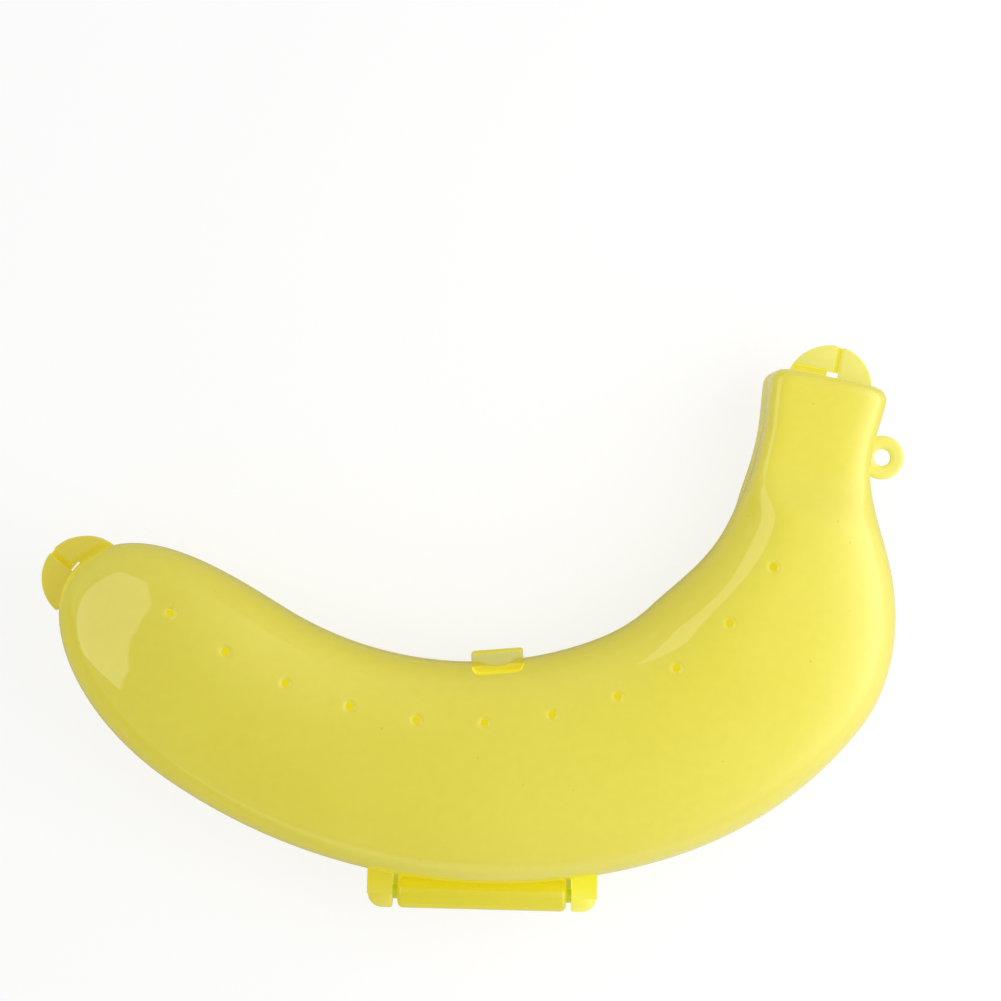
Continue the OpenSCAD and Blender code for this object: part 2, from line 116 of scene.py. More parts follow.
headings = [0.0]
for i in range(line_steps):
    headings.append(headings[i] + turn_rate((i + 0.5) * line_step) * line_step)
level = along(headings, level_at)
headings = [h - level for h in headings]
points = [Vector((0.0, 0.0))]
for i in range(line_steps):
    h = (headings[i] + headings[i + 1]) / 2
    points.append(points[i] + line_step * Vector((math.cos(h), math.sin(h))))


def beside(s, v):
    h = along(headings, s)
    return along(points, s) + v * Vector((-math.sin(h), math.cos(h)))


def shoulder(s, shoulder_len):
    return smooth((s - neck_at) / shoulder_len + 1)


def half_w(s, belly_half_w, neck_half_w, shoulder_len):
    body = mix(tip_half_w, belly_half_w, smooth(s / belly_len))
    flare = collar_flare * smooth((s - neck_at) / collar_len)
    return mix(body, neck_half_w, shoulder(s, shoulder_len)) + flare


def drawn_in(size, s, inset):
    t = min(max((s - inset) / (tip_len - inset), 0.0), 1.0)
    tip = (1 - (1 - t) ** tip_fullness) ** (1 / tip_fullness)
    r = end_corner_r - inset
    past = max(s - corner_at, 0.0)
    return (size - inset) * tip - (r - math.sqrt(max(r * r - past * past, 0.0)))


def inner_w(s, inset=0.0):
    return drawn_in(half_w(s, inner_half_w, inner_neck_half_w, inner_shoulder_len), s, inset)


def outer_w(s, inset=0.0):
    return drawn_in(half_w(s, outer_half_w, outer_neck_half_w, outer_shoulder_len), s, inset)


def neck_step(s):
    return smooth((s - step_at) / step_len)


def depth(s, inset=0.0):
    body = mix(belly_depth, neck_depth + step_depth, shoulder(s, inner_shoulder_len))
    return drawn_in(body - step_depth * neck_step(s), s, inset)


def fullness(s, on_latch_side):
    return mix(body_fullness, stem_inner_fullness if on_latch_side else stem_outer_fullness, neck_step(s))


# The middle line is moved so that the hinge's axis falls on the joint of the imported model.
hinge_axis = Vector(next(j["pos_m"] for j in frame["joints"] if j["name"] == "lid_hinge"))
parting_z = hinge_axis.z
lower_edge = [beside(s, -outer_w(s)) for s in (line_len * i / line_steps for i in range(line_steps))]
lowest_y = min(p.y for p in lower_edge)
shift = Vector((
    hinge_axis.x - hinge_shift - along(points, level_at).x,
    hinge_axis.y + hinge_drop - lowest_y,
))
points = [p + shift for p in points]
lower_edge = [p + shift for p in lower_edge]

# Knuckles of the hinge, which both halves keep clear of
barrel_len = 0.0404
ear_gap = 0.0012
ear_w = 0.006
knuckle_r = 0.0038
knuckle_clearance = 0.0003
ear_from = barrel_len / 2 + ear_gap
ear_to = ear_from + ear_w

# Rows of the shell's surface along the middle line, and columns from the latch side to the hinge side
tip_rows = 30
body_rows = 126
corner_rows = 8
cap_rows = 4
columns = 72
rows = tip_rows + body_rows + corner_rows + cap_rows


def station(row):
    if row < tip_rows:
        return tip_len * (1 - math.cos(math.pi / 2 * row / tip_rows)), 1.0
    row -= tip_rows
    if row < body_rows:
        return mix(tip_len, corner_at, row / body_rows), 1.0
    row -= body_rows
    if row < corner_rows:
        return corner_at + end_corner_r * math.sin(math.pi / 2 * row / corner_rows), 1.0
    return line_len, 1 - (row - corner_rows) / cap_rows


def on_shell(row, column):
    s, size = station(row)
    angle = math.pi * column / columns
    power = 2 / fullness(s, 2 * column < columns)
    across = math.copysign(abs(math.cos(angle)) ** power, math.cos(angle))
    width = inner_w(s) if across > 0 else outer_w(s)
    height = max(depth(s) - rim_z, 0.0) * abs(math.sin(angle)) ** power
    p = beside(s, across * width * size)
    return Vector((p.x, p.y, rim_z + height * size))


def shell_grid():
    bm = bmesh.new()
    bmesh.ops.create_grid(bm, x_segments=rows, y_segments=columns, size=1)
    for v in bm.verts:
        v.co = Vector(((v.co.x + 1) / 2 * rows, (v.co.y + 1) / 2 * columns, 0))
    return bm


def close_shell(bm, up, knuckle_spans):
    for v in bm.verts:
        v.co.z = parting_z + up * v.co.z
        reach = Vector((0, v.co.y - hinge_axis.y, v.co.z - hinge_axis.z))
        free_r = knuckle_r + knuckle_clearance
        for start, end in knuckle_spans:
            if start < v.co.x - hinge_axis.x < end and reach.length < free_r:
                v.co = Vector((v.co.x, hinge_axis.y, hinge_axis.z)) + free_r * reach.normalized()
    bmesh.ops.remove_doubles(bm, verts=bm.verts, dist=tiny)
    bmesh.ops.recalc_face_normals(bm, faces=bm.faces)
    top = max(bm.faces, key=lambda face: up * face.calc_center_median().z)
    if up * top.normal.z < 0:
        bmesh.ops.reverse_faces(bm, faces=bm.faces)


def new_piece(name, bm, *materials):
    mesh = bpy.data.meshes.new(name)
    bm.to_mesh(mesh)
    bm.free()
    for material in materials:
        mesh.materials.append(material)
    piece = bpy.data.objects.new(name, mesh)
    bpy.context.scene.collection.objects.link(piece)
    return piece


def apply_modifiers(piece):
    graph = bpy.context.evaluated_depsgraph_get()
    made = bpy.data.meshes.new_from_object(piece.evaluated_get(graph))
    piece.modifiers.clear()
    piece.data = made


def thicken(piece):
    skin = piece.modifiers.new("wall", "SOLIDIFY")
    skin.thickness = wall
    skin.offset = -1
    # The inside and the cut edges get the second material, the inside plastic with its stronger painted glow
    skin.material_offset = 1
    skin.material_offset_rim = 1
    edge = piece.modifiers.new("rim", "BEVEL")
    edge.width = rim_round
    edge.segments = 2
    edge.limit_method = "ANGLE"
    edge.angle_limit = sharp_angle
    apply_modifiers(piece)


def finish_piece(piece, body, node):
    for face in piece.data.polygons:
        face.use_smooth = True
    piece.data.set_sharp_from_angle(angle=crease_angle)
    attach(piece, body)
    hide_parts(node)


# Marks that moulded plastic has all over: milky clouds, a fine mottle, rare tiny specks and a faint ripple
noise_middle = (0.3, 0.7)
cloud_scale = 26
mottle_scale = 420
mottle_shade = (0.985, 1.015)
speck_scale = 160
speck_edge = (0.03, 0.05)
speck_shade = 0.80
gloss_scale = 60
gloss_roughness = (0.045, 0.075)
ripple_scale = 75
ripple_strength = 0.03
ripple_height = 0.0004
plastic_ior = 1.49


def marks_group():
    group = bpy.data.node_groups.new("moulding marks", "ShaderNodeTree")
    group.interface.new_socket("Vector", in_out="INPUT", socket_type="NodeSocketVector")
    group.interface.new_socket("Colour", in_out="INPUT", socket_type="NodeSocketColor")
    group.interface.new_socket("Milk", in_out="INPUT", socket_type="NodeSocketColor")
    group.interface.new_socket("Colour", in_out="OUTPUT", socket_type="NodeSocketColor")
    group.interface.new_socket("Roughness", in_out="OUTPUT", socket_type="NodeSocketFloat")
    group.interface.new_socket("Height", in_out="OUTPUT", socket_type="NodeSocketFloat")
    nodes = group.nodes
    links = group.links
    entry = nodes.new("NodeGroupInput")
    leave = nodes.new("NodeGroupOutput")

    def noise(scale, detail):
        node = nodes.new("ShaderNodeTexNoise")
        node.inputs["Scale"].default_value = scale
        node.inputs["Detail"].default_value = detail
        links.new(entry.outputs["Vector"], node.inputs["Vector"])
        return node.outputs["Fac"]

    def dots(scale):
        node = nodes.new("ShaderNodeTexVoronoi")
        node.inputs["Scale"].default_value = scale
        links.new(entry.outputs["Vector"], node.inputs["Vector"])
        return node.outputs["Distance"]

    def spread(value, low, high, to_low, to_high):
        node = nodes.new("ShaderNodeMapRange")
        node.inputs["From Min"].default_value = low
        node.inputs["From Max"].default_value = high
        node.inputs["To Min"].default_value = to_low
        node.inputs["To Max"].default_value = to_high
        links.new(value, node.inputs["Value"])
        return node.outputs["Result"]

    def blend(factor, first, second):
        node = nodes.new("ShaderNodeMix")
        node.data_type = "RGBA"
        links.new(factor, node.inputs["Factor"])
        links.new(first, node.inputs["A"])
        links.new(second, node.inputs["B"])
        return node.outputs["Result"]

    def shade(colour, amount):
        node = nodes.new("ShaderNodeHueSaturation")
        links.new(amount, node.inputs["Value"])
        links.new(colour, node.inputs["Color"])
        return node.outputs["Color"]

    clouds = spread(noise(cloud_scale, detail=3), *noise_middle, 0.0, 1.0)
    mottle = spread(noise(mottle_scale, detail=2), *noise_middle, *mottle_shade)
    specks = spread(dots(speck_scale), *speck_edge, speck_shade, 1.0)
    gloss = spread(noise(gloss_scale, detail=4), *noise_middle, *gloss_roughness)
    milky = blend(clouds, entry.outputs["Colour"], entry.outputs["Milk"])
    links.new(shade(shade(milky, mottle), specks), leave.inputs["Colour"])
    links.new(gloss, leave.inputs["Roughness"])
    links.new(noise(ripple_scale, detail=1), leave.inputs["Height"])
    return group


marks = marks_group()


def yellow_plastic(name, colour, milk, glow, painted_light_strength):
    material = bpy.data.materials.new(name)
    material.use_nodes = True
    nodes = material.node_tree.nodes
    links = material.node_tree.links
    shader = nodes["Principled BSDF"]
    shader.inputs["IOR"].default_value = plastic_ior
    # The emission is painted light: a glow that stands in for light coming through the thin wall
    shader.inputs["Emission Color"].default_value = (*glow, 1)
    shader.inputs["Emission Strength"].default_value = painted_light_strength
    place = nodes.new("ShaderNodeTexCoord")
    detail = nodes.new("ShaderNodeGroup")
    detail.node_tree = marks
    detail.inputs["Colour"].default_value = (*colour, 1)
    detail.inputs["Milk"].default_value = (*milk, 1)
    bump = nodes.new("ShaderNodeBump")
    bump.inputs["Strength"].default_value = ripple_strength
    bump.inputs["Distance"].default_value = ripple_height
    links.new(place.outputs["Object"], detail.inputs["Vector"])
    links.new(detail.outputs["Colour"], shader.inputs["Base Color"])
    links.new(detail.outputs["Roughness"], shader.inputs["Roughness"])
    links.new(detail.outputs["Height"], bump.inputs["Height"])
    links.new(bump.outputs["Normal"], shader.inputs["Normal"])
    return material


# Painted light: every plastic has a painted glow that stands in for light coming through the thin wall, a
# little all over, and the inside of the closed case has a darker colour under a stronger painted glow
painted_warm_light = (1.0, 0.86, 0.02)
shell_colour = (0.66, 0.585, 0.052)
shell_milk = (0.68, 0.61, 0.064)
shell_painted_light = 0.12
shell_plastic = yellow_plastic("yellow shell plastic", shell_colour, shell_milk, painted_warm_light, shell_painted_light)
lining_colour = (0.20, 0.172, 0.012)
lining_milk = (0.22, 0.19, 0.02)
lining_painted_light = 0.40
lining_plastic = yellow_plastic(
    "yellow inside plastic", lining_colour, lining_milk, painted_warm_light, lining_painted_light
)
# Painted light: the small mouldings have an orange painted glow at the tip's end
moulding_colour = (0.58, 0.53, 0.055)
moulding_milk = (0.60, 0.55, 0.070)
moulding_painted_light = 0.20
painted_tip_light = (0.98, 0.66, 0.0)
moulding_plastic = yellow_plastic(
    "yellow moulding plastic", moulding_colour, moulding_milk, painted_tip_light, moulding_painted_light
)


# Paints light: the emission's colour blends towards a given glow along one axis of the object
def paint_light_towards(material, side, near, far, glow):
    nodes = material.node_tree.nodes
    links = material.node_tree.links
    place = nodes.new("ShaderNodeTexCoord")
    parts = nodes.new("ShaderNodeSeparateXYZ")
    share = nodes.new("ShaderNodeMapRange")
    share.inputs["From Min"].default_value = near
    share.inputs["From Max"].default_value = far
    colour = nodes.new("ShaderNodeMix")
    colour.data_type = "RGBA"
    emission = nodes["Principled BSDF"].inputs["Emission Color"]
    colour.inputs["A"].default_value = emission.default_value
    colour.inputs["B"].default_value = (*glow, 1)
    links.new(place.outputs["Object"], parts.inputs["Vector"])
    links.new(parts.outputs[side], share.inputs["Value"])
    links.new(share.outputs["Result"], colour.inputs["Factor"])
    links.new(colour.outputs["Result"], emission)


# Painted light: the rear half's inside glows more towards its bottom, which lies on the pale table, as
# though light came through from there
painted_deep_light = (1.6, 1.38, 0.034)
paint_light_towards(lining_plastic, "Z", parting_z, parting_z - belly_depth + 2 * wall, painted_deep_light)

# Painted light: the small mouldings' painted glow grows paler and brighter towards the stem's end, which
# lies nearer the lamp
painted_stem_light = (1.35, 1.32, 0.44)
paint_light_towards(moulding_plastic, "X", points[0].x, points[-1].x, painted_stem_light)


def block(low, high):
    bm = bmesh.new()
    size = Vector(high) - Vector(low)
    middle = (Vector(high) + Vector(low)) / 2
    bmesh.ops.create_cube(bm, size=1, matrix=Matrix.Translation(middle) @ Matrix.Diagonal((*size, 1)))
    return bm


def cut_lengthwise(bm, cuts):
    long_edges = [e for e in bm.edges if abs(e.verts[0].co.x - e.verts[1].co.x) > tiny]
    bmesh.ops.subdivide_edges(bm, edges=long_edges, cuts=cuts, use_grid_fill=True)


def combine(piece, others, operation):
    for other in others:
        step = piece.modifiers.new("step", "BOOLEAN")
        step.operation = operation
        step.solver = "EXACT"
        step.object = other
    apply_modifiers(piece)
    for other in others:
        bpy.data.objects.remove(other)


ear_spans = [
    (ear_from - knuckle_clearance, ear_to + knuckle_clearance),
    (-ear_to - knuckle_clearance, -ear_from + knuckle_clearance),
]
bm = shell_grid()
for v in bm.verts:
    v.co = on_shell(v.co.x, v.co.y)
close_shell(bm, -1, ear_spans)
rear_half = new_piece("rear_half", bm, shell_plastic, lining_plastic)
thicken(rear_half)
finish_piece(rear_half, "rear", "rear_shell")


# Hinge barrel. The long middle knuckle, a rod with softly rounded ends on a flat arm that grows out of the
# rear half's edge and runs on behind the gaps. It is moulded with that half, of the same plastic, and the
# pin runs through it. It is drawn a hair smaller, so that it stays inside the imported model's box.
barrel_round = 0.0014
box_ease = 0.00001
pin_bore_r = 0.00176
arm_sink = 0.0010
arm_half_w = ear_from - knuckle_clearance / 6

# Painted light and shade: the knuckles' painted glow grows towards the body and lifts the shade where they
# meet it.
# The faces behind the gaps, and the pin, get a darker and greener copy of the plastic, painted shade, with a
# weaker glow
knuckle_colours = ((0.50, 0.44, 0.012), (0.52, 0.46, 0.018))
knuckle_painted_light = 0.26
painted_gap_shade = ((0.36, 0.38, 0.01), (0.38, 0.39, 0.02))
gap_painted_light = 0.30
knuckle_plastic = yellow_plastic("yellow barrel plastic", *knuckle_colours, painted_warm_light, knuckle_painted_light)
painted_knuckle_light = (1.5, 1.26, 0.02)
paint_light_towards(knuckle_plastic, "Y", hinge_axis.y, hinge_axis.y + hinge_drop, painted_knuckle_light)
painted_gap_light = (0.80, 0.86, 0.01)
gap_shade_plastic = yellow_plastic("yellow shaded gap plastic", *painted_gap_shade, painted_gap_light, gap_painted_light)


# The body's edge at the hinge, looked for past the tip, where the edge turns back
past_tip = line_steps // 5


def edge_y(x):
    near = min(lower_edge[past_tip:], key=lambda p: abs(p.x - x))
    return near.y


knuckle_segments = 64
bore_segments = 32
arm_cuts = 9


def rod(start, end, r, segments):
    bm = bmesh.new()
    turn = Matrix.Rotation(math.pi / 2, 4, "Y")
    middle = Matrix.Translation(hinge_axis + Vector(((start + end) / 2, 0, 0)))
    bmesh.ops.create_cone(
        bm, cap_ends=True, segments=segments, radius1=r, radius2=r, depth=end - start, matrix=middle @ turn
    )
    return bm


def round_edges(bm, edges, offset, segments):
    bmesh.ops.bevel(
        bm,
        geom=edges,
        offset=offset,
        segments=segments,
        profile=0.5,
        affect="EDGES",
        material=-1,
        clamp_overlap=True,
    )


def round_rod_end(bm, x, round_r, segments):
    ring = [e for e in bm.edges if all(abs(v.co.x - hinge_axis.x - x) < tiny for v in e.verts)]
    round_edges(bm, ring, round_r, segments)


def arm(start, end, low_z, high_z):
    bm = block(
        (hinge_axis.x + start, hinge_axis.y, parting_z + low_z),
        (hinge_axis.x + end, hinge_axis.y + hinge_drop, parting_z + high_z),
    )
    cut_lengthwise(bm, arm_cuts)
    for v in bm.verts:
        if v.co.y > hinge_axis.y + hinge_drop / 2:
            v.co.y = edge_y(v.co.x) + arm_sink
    return bm


bm = rod(-barrel_len / 2, barrel_len / 2, knuckle_r - box_ease, knuckle_segments)
barrel_arm = arm(-arm_half_w, arm_half_w, -knuckle_r, -2 * rim_z)
for end in (-barrel_len / 2, barrel_len / 2):
    round_rod_end(bm, end, barrel_round, segments=4)
    bmesh.ops.bisect_plane(
        barrel_arm,
        geom=barrel_arm.verts[:] + barrel_arm.edges[:] + barrel_arm.faces[:],
        plane_co=hinge_axis + Vector((end, 0, 0)),
        plane_no=(1, 0, 0),
    )
barrel = new_piece("barrel", bm, knuckle_plastic)
combine(barrel, [new_piece("barrel_arm", barrel_arm)], "UNION")
pin_bore = new_piece("pin_bore", rod(-barrel_len, barrel_len, pin_bore_r, bore_segments))
combine(barrel, [pin_bore], "DIFFERENCE")
# The faces beyond the rod's ends, behind the gaps, get the gap plastic's painted shade
barrel.data.materials.append(gap_shade_plastic)
for face in barrel.data.polygons:
    if abs(face.center.x - hinge_axis.x) > barrel_len / 2:
        face.material_index = 1
finish_piece(barrel, "rear", "hinge_barrel")


# Hang loop. A flat ring of the same plastic with softly rounded edges and a round hole to hang the case by.
# It is moulded onto the rear half's edge beside the stem.
loop_hole_r = 0.002
loop_ring = 0.0033
loop_t = 0.0026
loop_back = 0.0157
loop_out = 0.0032
loop_round = 0.0011
loop_steps = 72
loop_at = line_len - loop_back
loop_mid = beside(loop_at, -outer_neck_half_w - loop_out)
loop_r = loop_hole_r + loop_ring - box_ease

bm = bmesh.new()
section = [(loop_hole_r, 0), (loop_r, 0), (loop_r, loop_t), (loop_hole_r, loop_t)]
corners = [bm.verts.new((r, 0, z)) for r, z in section]
for i in range(len(corners)):
    bm.edges.new((corners[i - 1], corners[i]))
bmesh.ops.spin(
    bm,
    geom=bm.verts[:] + bm.edges[:],
    axis=(0, 0, 1),
    cent=(0, 0, 0),
    angle=2 * math.pi,
    steps=loop_steps,
    use_merge=True,
)
bmesh.ops.recalc_face_normals(bm, faces=bm.faces)


def sharp_edges(bm):
    return [e for e in bm.edges if e.calc_face_angle(0) > sharp_angle]


round_edges(bm, sharp_edges(bm), loop_round, segments=6)
bmesh.ops.translate(bm, verts=bm.verts, vec=(loop_mid.x, loop_mid.y, parting_z - rim_z - loop_t))
seat = beside(loop_at, -outer_neck_half_w + wall / 2)
inwards = beside(loop_at, 0) - loop_mid


def cut_off(bm, point, direction):
    bmesh.ops.bisect_plane(
        bm,
        geom=bm.verts[:] + bm.edges[:] + bm.faces[:],
        plane_co=point,
        plane_no=direction,
        clear_outer=True,
    )


cut_off(bm, (seat.x, seat.y, 0), (inwards.x, inwards.y, 0))
bmesh.ops.holes_fill(bm, edges=[e for e in bm.edges if e.is_boundary])
finish_piece(new_piece("loop", bm, moulding_plastic), "rear", "hang_loop")


# Pull tabs. At each end a half disc stands out along the parting line, split by a slot, to pull the halves
# apart. The rear half's part is a thin web under the slot with a raised quarter on it, and the front half's
# part is a plate. Each is moulded with its half, of the same plastic.
tab_r = 0.01016
tab_t = 0.0022
tab_slot = 0.0014
tab_lap = 0.0004
tip_tab_groove = 0.0014
stem_tab_groove = 0.0022
stem_eyelet_out = 0.0008
tab_round = 0.0004
tab_sink = 0.0009
eyelet_w = 0.003
eyelet_h = 0.0013
eyelet_round = 0.0004
tip_tab_at = 0.0038
tip_tab_out = 0.004
tip_tab_foot = 0.0032
tip_tab_lean = math.radians(14)
tip_tab_angle = along(headings, tip_tab_at) + math.pi + tip_tab_lean
tab_segments = 128
tip_steps = 24
stem_tab_back = 0.0019
stem_tab_out = 0.001
stem_slot_out = 0.0009
stem_foot = stem_tab_back + stem_eyelet_out
tip_foot = tip_tab_foot - eyelet_h / 4


# Painted light: the thin web glows in the slot and in the groove beside the body, lifting their shade as
# though light came through the web, and more towards the stem's end, nearer the lamp
web_colours = ((0.50, 0.45, 0.014), (0.52, 0.47, 0.020))
web_painted_light = 0.26
painted_tip_web_light = (1.2, 1.02, 0.02)
web_plastic = yellow_plastic("yellow web plastic", *web_colours, painted_tip_web_light, web_painted_light)
painted_stem_web_light = (1.6, 1.42, 0.10)
paint_light_towards(web_plastic, "X", points[0].x, points[-1].x, painted_stem_web_light)


def tab_place(mid, angle, flip):
    moved = Matrix.Translation((mid.x, mid.y, parting_z))
    return moved @ Matrix.Rotation(angle, 4, "Z") @ Matrix.Diagonal((1, flip, 1, 1))


tip_place = tab_place(beside(tip_tab_at, -tip_tab_out), tip_tab_angle, -1)
stem_place = tab_place(beside(line_len - stem_tab_back, -stem_tab_out), along(headings, line_len), 1)


def raise_faces(bm, height):
    grown = bmesh.ops.extrude_face_region(bm, geom=bm.faces[:])["geom"]
    top = [g for g in grown if isinstance(g, bmesh.types.BMVert)]
    bmesh.ops.translate(bm, verts=top, vec=(0, 0, height))
    bmesh.ops.recalc_face_normals(bm, faces=bm.faces)


def put(bm, place):
    bmesh.ops.transform(bm, matrix=place, verts=bm.verts)
    bmesh.ops.recalc_face_normals(bm, faces=bm.faces)
    return bm


def disc_part(r, low_x, low_y, high_y, low_z, high_z, place):
    bm = bmesh.new()
    bmesh.ops.create_circle(bm, cap_ends=True, segments=tab_segments, radius=r)
    cut_off(bm, (low_x, 0, 0), (-1, 0, 0))
    cut_off(bm, (0, low_y, 0), (0, -1, 0))
    cut_off(bm, (0, high_y, 0), (0, 1, 0))
    bmesh.ops.remove_doubles(bm, verts=bm.verts, dist=tab_round / 8)
    bmesh.ops.translate(bm, verts=bm.verts, vec=(0, 0, low_z))
    raise_faces(bm, high_z - low_z)
    round_edges(bm, sharp_edges(bm), tab_round, segments=4)
    bmesh.ops.remove_doubles(bm, verts=bm.verts, dist=tiny)
    return put(bm, place)


def tip_prism(inset, low_z, high_z):
    bm = bmesh.new()
    turns = [math.pi / 2 * i / tip_steps for i in range(tip_steps + 1)]
    reach = [inset + tip_len / 2 * (1 - math.cos(turn)) for turn in turns]
    outline = [beside(s, inner_w(s, inset)) for s in reversed(reach)]
    outline += [beside(s, -outer_w(s, inset)) for s in reach[1:]]
    bm.faces.new([bm.verts.new((p.x, p.y, parting_z + low_z)) for p in outline])
    raise_faces(bm, high_z - low_z)
    return bm


def rear_tab(name, foot, slot_y, place, pad_from, pad_cutters, cutters):
    web_y = slot_y - tab_slot / 2 - tab_lap
    pad_y = slot_y + tab_slot / 2
    web = disc_part(tab_r, 0, web_y, 2 * tab_r, -rim_z - tab_t, -rim_z, place)
    pad_r = tab_r - tab_round / 10
    pad = disc_part(pad_r, pad_from, pad_y, 2 * tab_r, -rim_z - tab_t / 2, rim_z + tab_t, place)
    raised = new_piece("pad", pad)
    combine(raised, pad_cutters, "DIFFERENCE")
    tab = new_piece(name, web, moulding_plastic)
    combine(tab, [raised], "UNION")
    eyelet = block((foot, web_y - tab_lap, -2 * tab_t), (foot + eyelet_h, web_y + eyelet_w, 2 * tab_t))
    upright = [e for e in eyelet.edges if abs(e.verts[0].co.z - e.verts[1].co.z) > tiny]
    round_edges(eyelet, upright, eyelet_round, segments=4)
    combine(tab, [new_piece("eyelet", put(eyelet, place))] + cutters, "DIFFERENCE")
    # The web's low faces get the web plastic's painted glow
    tab.data.materials.append(web_plastic)
    for face in tab.data.polygons:
        if face.center.z < parting_z + tab_t / 3:
            face.material_index = 1
    return tab


def stem_seat():
    bm = block((-tab_r, -2 * tab_r, -tab_r), (stem_tab_back - tab_sink, 2 * tab_r, tab_r))
    return new_piece("stem_seat", put(bm, stem_place))


def tip_seat():
    return new_piece("tip_seat", tip_prism(tab_sink, -tab_r, tab_r))


def tip_groove():
    bm = tip_prism(0, -rim_z, 2 * tab_r)
    forward = tip_tab_groove * Vector((math.cos(tip_tab_angle), math.sin(tip_tab_angle), 0))
    bmesh.ops.translate(bm, verts=bm.verts, vec=forward)
    return new_piece("tip_groove", bm)


tip_tab = rear_tab("tip_tab_lower", tip_foot, 0, tip_place, 0, [tip_groove()], [tip_seat()])
finish_piece(tip_tab, "rear", "tip_tab_rear")
stem_pad_from = stem_tab_back + stem_tab_groove
stem_tab = rear_tab(
    "stem_tab_lower", stem_foot, -stem_slot_out, stem_place, stem_pad_from, [], [stem_seat()]
)
finish_piece(stem_tab, "rear", "stem_tab_rear")

for name, slot_y, place, seat_of, node in (
    ("tip_tab_upper", 0, tip_place, tip_seat, "tip_tab_front"),
    ("stem_tab_upper", -stem_slot_out, stem_place, stem_seat, "stem_tab_front"),
):
    plate = disc_part(tab_r, 0, -2 * tab_r, slot_y - tab_slot / 2, rim_z, rim_z + tab_t, place)
    tab = new_piece(name, plate, moulding_plastic)
    combine(tab, [seat_of()], "DIFFERENCE")
    finish_piece(tab, "front", node)


# Latch root. A small block of the same plastic on the rear half's flank, with a half-round seat along its
# top that the tongue bends in. It is moulded with that half.
latch_at = 0.1164
tongue_w = 0.0124
latch_gap = 0.0005
bead_r = 0.0008
bead_clearance = 0.00008
root_back = 0.007
root_h = 0.0024
root_wall = 0.0004
root_round = 0.0005
latch_edge = inner_w(latch_at)
latch_fullness = fullness(latch_at, True)
latch_foot = beside(latch_at, latch_edge)
latch_turn = Matrix.Rotation(along(headings, latch_at), 4, "Z")
latch_place = Matrix.Translation((latch_foot.x, latch_foot.y, parting_z)) @ latch_turn
arm_mid = latch_gap + bead_r
socket_r = bead_r + bead_clearance
root_out = arm_mid + socket_r + root_wall


def latch_rod(r, length):
    bm = bmesh.new()
    turn = Matrix.Rotation(math.pi / 2, 4, "Y")
    middle = Matrix.Translation((0, arm_mid, -root_back))
    bmesh.ops.create_cone(
        bm,
        cap_ends=True,
        segments=bore_segments,
        radius1=r,
        radius2=r,
        depth=length,
        matrix=latch_place @ middle @ turn,
    )
    return bm


bm = block((-tongue_w / 2, -wall, -root_back - root_h), (tongue_w / 2, root_out, -root_back))
for v in bm.verts:
    if v.co.y > 0 and v.co.z < -root_back - root_h / 2:
        v.co.y -= root_out / 2
round_edges(bm, sharp_edges(bm), root_round, segments=3)
root = new_piece("root_block", put(bm, latch_place), moulding_plastic)
combine(root, [new_piece("bead_seat", latch_rod(socket_r, 2 * tongue_w))], "DIFFERENCE")
finish_piece(root, "rear", "latch_root")


# Front half of the body. The same bowl as the rear half, moulded in the same plastic and closed over it as
# the lid. It has a row of small vent holes along its crown, each in a shallow dimple, and an opening in its
# edge for the latch pocket.
vent_count = 11
vent_r = 0.0009
vent_from = 0.0251
vent_pitch = 0.0157
vent_in = 0.0112
vent_tip_drop = 0.0023
vent_stem_drop = 0.0056
vent_bend = 4
vent_cuts = 3
vent_reach = 0.0052
dimple_w = 0.0008
dimple_depth = 0.0003
pocket_depth = 0.0021
pocket_corner_r = 0.002
pocket_floor = 0.0022
nose_half_w = 0.002
nose_root_half_w = 0.0044
nose_reach = 0.0008
nose_clearance = 0.00012
cut_over = 0.00003

# Corners of the pocket's and the slot's outlines that are rounded, counted from the left end
pocket_corners = (1, 2)
slot_corners = (2, 3)


def vent_off(i):
    from_mid = 2 * i / (vent_count - 1) - 1
    drop = vent_tip_drop if from_mid < 0 else vent_stem_drop
    return vent_in - drop * abs(from_mid) ** vent_bend


vents = []
vent_s = vent_from
for i in range(vent_count):
    vents.append(beside(vent_s, vent_off(i)))
    vent_s += vent_pitch / (1 - turn_rate(vent_s) * vent_off(i))


def vent_distance(p):
    return min((Vector((p.x, p.y)) - vent).length for vent in vents)


bm = shell_grid()
near = {v for v in bm.verts if vent_distance(on_shell(v.co.x, v.co.y)) < vent_reach}
fine = [e for e in bm.edges if e.verts[0] in near and e.verts[1] in near]
bmesh.ops.subdivide_edges(bm, edges=fine, cuts=vent_cuts, use_grid_fill=True)
for v in bm.verts:
    v.co = on_shell(v.co.x, v.co.y)
inside = [f for f in bm.faces if vent_distance(f.calc_center_median()) < vent_r]
bmesh.ops.delete(bm, geom=inside, context="FACES")
bm.normal_update()
for v in bm.verts:
    vent = min(vents, key=lambda mid: (v.co.xy - mid).length)
    off = v.co.xy - vent
    if off.length > vent_r + dimple_w:
        continue
    if v.is_boundary:
        moved = off.normalized() * vent_r - off
        v.co.z -= (v.normal.x * moved.x + v.normal.y * moved.y) / v.normal.z
        v.co.x += moved.x
        v.co.y += moved.y
    v.co.z -= dimple_depth * smooth(1 - (off.length - vent_r) / dimple_w)
close_shell(bm, 1, [(-barrel_len / 2 - knuckle_clearance, barrel_len / 2 + knuckle_clearance)])
